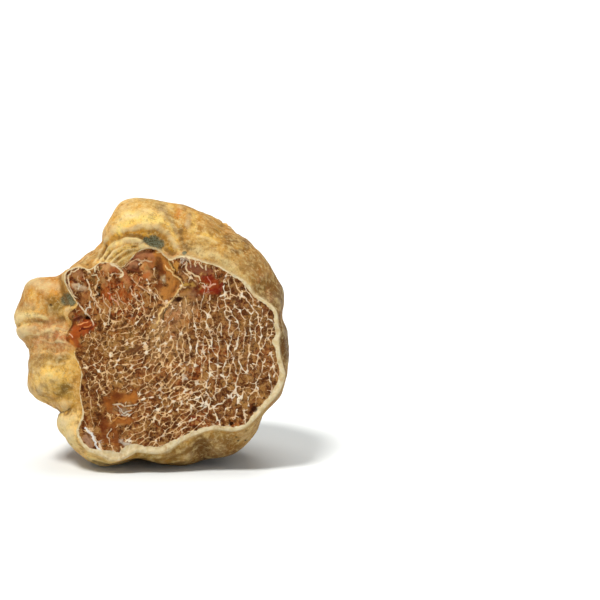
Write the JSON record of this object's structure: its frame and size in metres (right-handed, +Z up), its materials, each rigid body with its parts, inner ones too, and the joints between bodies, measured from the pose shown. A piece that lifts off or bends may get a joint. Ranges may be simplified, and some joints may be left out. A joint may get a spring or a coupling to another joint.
{
  "type": "white truffle",
  "caption": "White truffle with one side sliced off: lumpy ochre skin round a flat cut face of brown flesh with a fine net of pale veins.",
  "frame": {"origin": "on the floor, under the middle of the truffle's box; z = 0 is the flat spot it rests on", "axes": "+Z up, -Y out of the cut face (which looks up by 8 degrees), +X to the right when the cut face is looked at"},
  "size_m": [0.0586, 0.0474, 0.0571],
  "materials": {
    "truffle_skin": "dull, suede-like ochre skin; the cut face is brown flesh with cream veins"
  },
  "bodies": {
    "root": {"white_truffle": "truffle_skin"}
  },
  "joints": []
}
